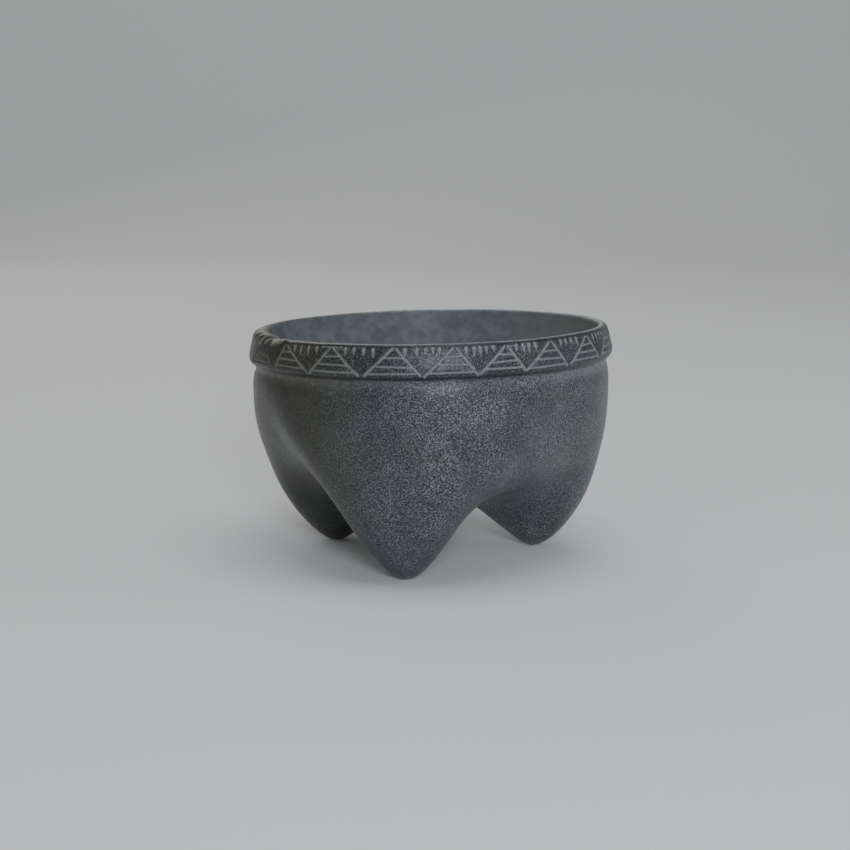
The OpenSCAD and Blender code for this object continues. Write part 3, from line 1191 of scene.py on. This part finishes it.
            # feet worn pale where they meet the floor, plus the neck's polish and painted sheen
            worn = np.clip(1 - made[:, 2] / 3.0, 0, 1) * 0.6 + self._neck(np.degrees(turn), drop)
            skin.ring(made, layered(len(turn), rubbed=worn))
        pole = self.form.trace(np.array([0.0]), np.array([1.0]))[0]
        skin.ring(pole, layered(1))

    def dress(self, made: bpy.types.Object, finish: bpy.types.Material) -> None:
        """Gives the stone its finish and its place: on the CAD mortar's axis and floor.

        Args:
            made: The stone.
            finish: Its finish.
        """
        made.data.materials.append(finish)
        middle = middle_of("mortar")
        made.location = (middle.x, middle.y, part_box("mortar")[0].z)
        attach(made, "mortar")
        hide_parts("mortar")


@dataclass
class HandStone:
    """The loose tejolote: a rounded cone worn flat on its wide end."""

    head_r: float = 23.0
    grip_r: float = 15.5
    span: float = 46.0
    wear: float = 4.0
    at: float = 18.0
    gap: float = 0.3
    around: int = 144
    rings: int = 96
    steps: int = 16
    worn_corner: float = 0.12
    shrink: float = 0.25
    lumps: Lumps = Lumps((17.0, 21.0, 0.28), (6.0, 9.0, 0.1))
    # the worn face: (share of its radius, rise)
    face: tuple[Pair, ...] = ((0.0, 0.0), (0.35, 0.1), (0.7, 0.4), (0.92, 1.0))

    @property
    def worn_z(self) -> float:
        """Height of the worn face, from the wide end's centre."""
        return -(self.head_r - self.wear)

    def _pose(self, ball_r: float, ball: Vector) -> tuple[Vector, Vector]:
        """Centres of the wide and the narrow end, as it lies in the hollow.

        Args:
            ball_r: Radius of the hollow.
            ball: Centre of the hollow's ball.

        Returns:
            The two centres.
        """
        a, b = ball_r - self.gap - self.head_r, ball_r - self.gap - self.grip_r
        spread = math.acos((a * a + b * b - self.span**2) / (2 * a * b))
        weight = Vector((0.33 * b * math.sin(spread), 0, a + 0.33 * (b * math.cos(spread) - a)))
        swing = math.atan2(weight.x, weight.z)
        turn = Euler((0, 0, math.radians(self.at))).to_matrix()
        head = Vector((-a * math.sin(swing), 0, -a * math.cos(swing)))
        grip = Vector((b * math.sin(spread - swing), 0, -b * math.cos(spread - swing)))
        return turn @ head + ball, turn @ grip + ball

    def _outline(self) -> Array:
        """Half the stone's outline, from the middle of its worn face to the tip of its narrow end.

        Returns:
            N x 2 points, each (radius, height over the wide end's centre).
        """
        cone = math.asin((self.head_r - self.grip_r) / self.span)
        worn_at = math.asin(self.worn_z / self.head_r)
        edge = self.head_r * math.cos(worn_at)
        outline = [(edge * share, self.worn_z + rise) for share, rise in self.face]
        for t in np.linspace(worn_at + self.worn_corner, cone, self.steps + 1):
            outline.append((self.head_r * math.cos(t), self.head_r * math.sin(t)))
        for t in np.linspace(cone, math.pi / 2, self.steps + 1):
            outline.append((self.grip_r * math.cos(t), self.span + self.grip_r * math.sin(t)))
        return np.array(outline)

    def build(self, mortar: Mortar) -> bpy.types.Object:
        """Builds the hand stone where it lies.

        Args:
            mortar: The mortar, whose hollow it lies in.

        Returns:
            The new object.
        """
        ball_r, ball_z = mortar.hollow_ball()
        ball = Vector(mortar.form.lean.place(np.array([0.0]), np.array([0.0]), np.array([ball_z]))[0])
        head, grip = self._pose(ball_r, ball)
        axis = (grip - head).normalized()
        side = axis.orthogonal().normalized()
        ways = np.array([side, axis.cross(side), axis])
        line = self._outline()
        run = run_along(line)
        turn = np.arange(self.around) * (2 * math.pi / self.around)
        skin = Skin()
        for i in range(self.rings + 1):
            pole = i in (0, self.rings)
            s = run[-1] * i / self.rings
            r = 0.0 if pole else float(np.interp(s, run, line[:, 0]))
            h = float(np.interp(s, run, line[:, 1]))
            one = turn[:1] if pole else turn
            local = np.stack([r * np.cos(one), r * np.sin(one), np.full_like(one, h)], -1)
            away = local - np.array([0, 0, min(max(h, 0.0), self.span)])
            away = away / np.maximum(np.linalg.norm(away, axis=1, keepdims=True), 0.01)
            local = local + away * (self.lumps.at(local) - self.shrink)[:, None]
            worn = 0.45 * (1 - smooth(self.worn_z + 1.0, self.worn_z + 5.0, np.array(h)))
            held = 0.22 * smooth(self.span - 24, self.span + 10, np.array(h))
            skin.ring(np.array(head) + local @ ways, layered(len(one), rubbed=max(worn, held), inner=0.35))
        return skin.mesh("tejolote_stone")

    def dress(self, made: bpy.types.Object, finish: bpy.types.Material) -> None:
        """Gives the hand stone its finish and its place: over the middle of the CAD hand stone.

        Args:
            made: The hand stone.
            finish: Its finish.
        """
        made.data.materials.append(finish)
        corners = [Vector(corner) for corner in made.bound_box]
        own = sum(corners, Vector()) / len(corners)
        shift = middle_of("tejolote") - own
        made.location = shift
        log.info("hand stone set over the CAD one by %.2f mm", shift.length / MM)
        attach(made, "hand_stone")
        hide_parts("tejolote")


# ---- the studio


@dataclass(frozen=True)
class Lamp:
    """One soft square lamp, in metres and watts, that looks at the stone."""

    name: str
    at: Triple
    size: float
    power: float
    colour: Triple
    aim: Triple = (0.0, 0.0, 0.07)

    def place(self) -> None:
        """Puts the lamp in the scene."""
        data = bpy.data.lights.new(self.name, "AREA")
        data.shape = "SQUARE"
        data.size = self.size
        data.energy = self.power
        data.color = self.colour
        made = bpy.data.objects.new(self.name, data)
        made.location = self.at
        way = Vector(self.aim) - Vector(self.at)
        made.rotation_euler = way.to_track_quat("-Z", "Y").to_euler()
        bpy.context.scene.collection.objects.link(made)


@dataclass(frozen=True)
class Studio:
    """Camera, floor and soft light.

    The key stands above the camera, dim fills stand at the sides and behind, and a wide lamp hangs
    over the stone.
    """

    distance: float = 1.03715
    height: float = 0.27129
    dip: float = 10.855
    yaw: float = -0.173
    lens: float = 80.16
    sensor: float = 36.0
    backdrop: float = 0.27
    floor_half: float = 12.0
    bend_at: float = 1.6
    bend_r: float = 0.9
    wall_h: float = 4.0
    lamps: tuple[Lamp, ...] = (
        Lamp("key", (0.2, -1.7, 0.7), 0.4, 13.5, (0.86, 0.93, 1.0)),
        Lamp("right_fill", (1.6, -0.3, 0.75), 1.0, 3.8, (0.9, 0.96, 1.0)),
        Lamp("left_fill", (-1.7, -0.5, 0.5), 1.2, 0.6, (1.0, 0.95, 0.85)),
        Lamp("back_fill", (-0.6, 1.4, 1.0), 1.0, 3.5, (1.0, 0.98, 0.95)),
        Lamp("top", (0.15, -0.3, 1.9), 1.2, 11.0, (0.94, 0.97, 1.0)),
    )

    def camera(self) -> None:
        """Places the camera."""
        data = bpy.data.cameras.new("camera")
        data.lens = self.lens
        data.sensor_width = self.sensor
        data.clip_start = 0.01
        made = bpy.data.objects.new("camera", data)
        made.location = (0.0, -self.distance, self.height)
        made.rotation_euler = (math.radians(90 - self.dip), 0.0, -math.radians(self.yaw))
        bpy.context.scene.collection.objects.link(made)
        bpy.context.scene.camera = made

    def floor(self) -> None:
        """A plain pale floor that curves up far behind into a backdrop."""
        rows = [(-self.floor_half, 0.0), (self.bend_at, 0.0)]
        for a in np.radians(np.arange(6, 91, 6)):
            rows.append((self.bend_at + self.bend_r * math.sin(a), self.bend_r * (1 - math.cos(a))))
        rows.append((self.bend_at + self.bend_r, self.wall_h))
        points = [(x, y, z) for y, z in rows for x in (-self.floor_half, self.floor_half)]
        faces = [(2 * i, 2 * i + 1, 2 * i + 3, 2 * i + 2) for i in range(len(rows) - 1)]
        mesh = bpy.data.meshes.new("floor")
        mesh.from_pydata(points, [], faces)
        mesh.shade_smooth()
        mesh.materials.append(PaleFloor().build())
        made = bpy.data.objects.new("floor", mesh)
        bpy.context.scene.collection.objects.link(made)

    def light(self) -> None:
        """Places the lamps and a dim even light from all round."""
        for lamp in self.lamps:
            lamp.place()
        world = bpy.data.worlds.new("soft_world")
        world.use_nodes = True
        shade = world.node_tree.nodes["Background"]
        shade.inputs[0].default_value = (1.0, 1.0, 1.0, 1.0)
        shade.inputs[1].default_value = self.backdrop
        bpy.context.scene.world = world

    def build(self) -> None:
        """Sets up the whole studio."""
        self.camera()
        self.floor()
        self.light()
        log.info("studio ready")


def main() -> None:
    """Builds both stones and the studio."""
    mortar = Mortar()
    stone = mortar.build()
    mortar.dress(stone, Basalt("basalt_mortar").build())
    hand = HandStone()
    loose = hand.build(mortar)
    hand.dress(loose, Basalt("basalt_hand_stone", gloss=0.42, needles=0.5).build())
    Studio().build()


if __name__ == "__main__":
    main()
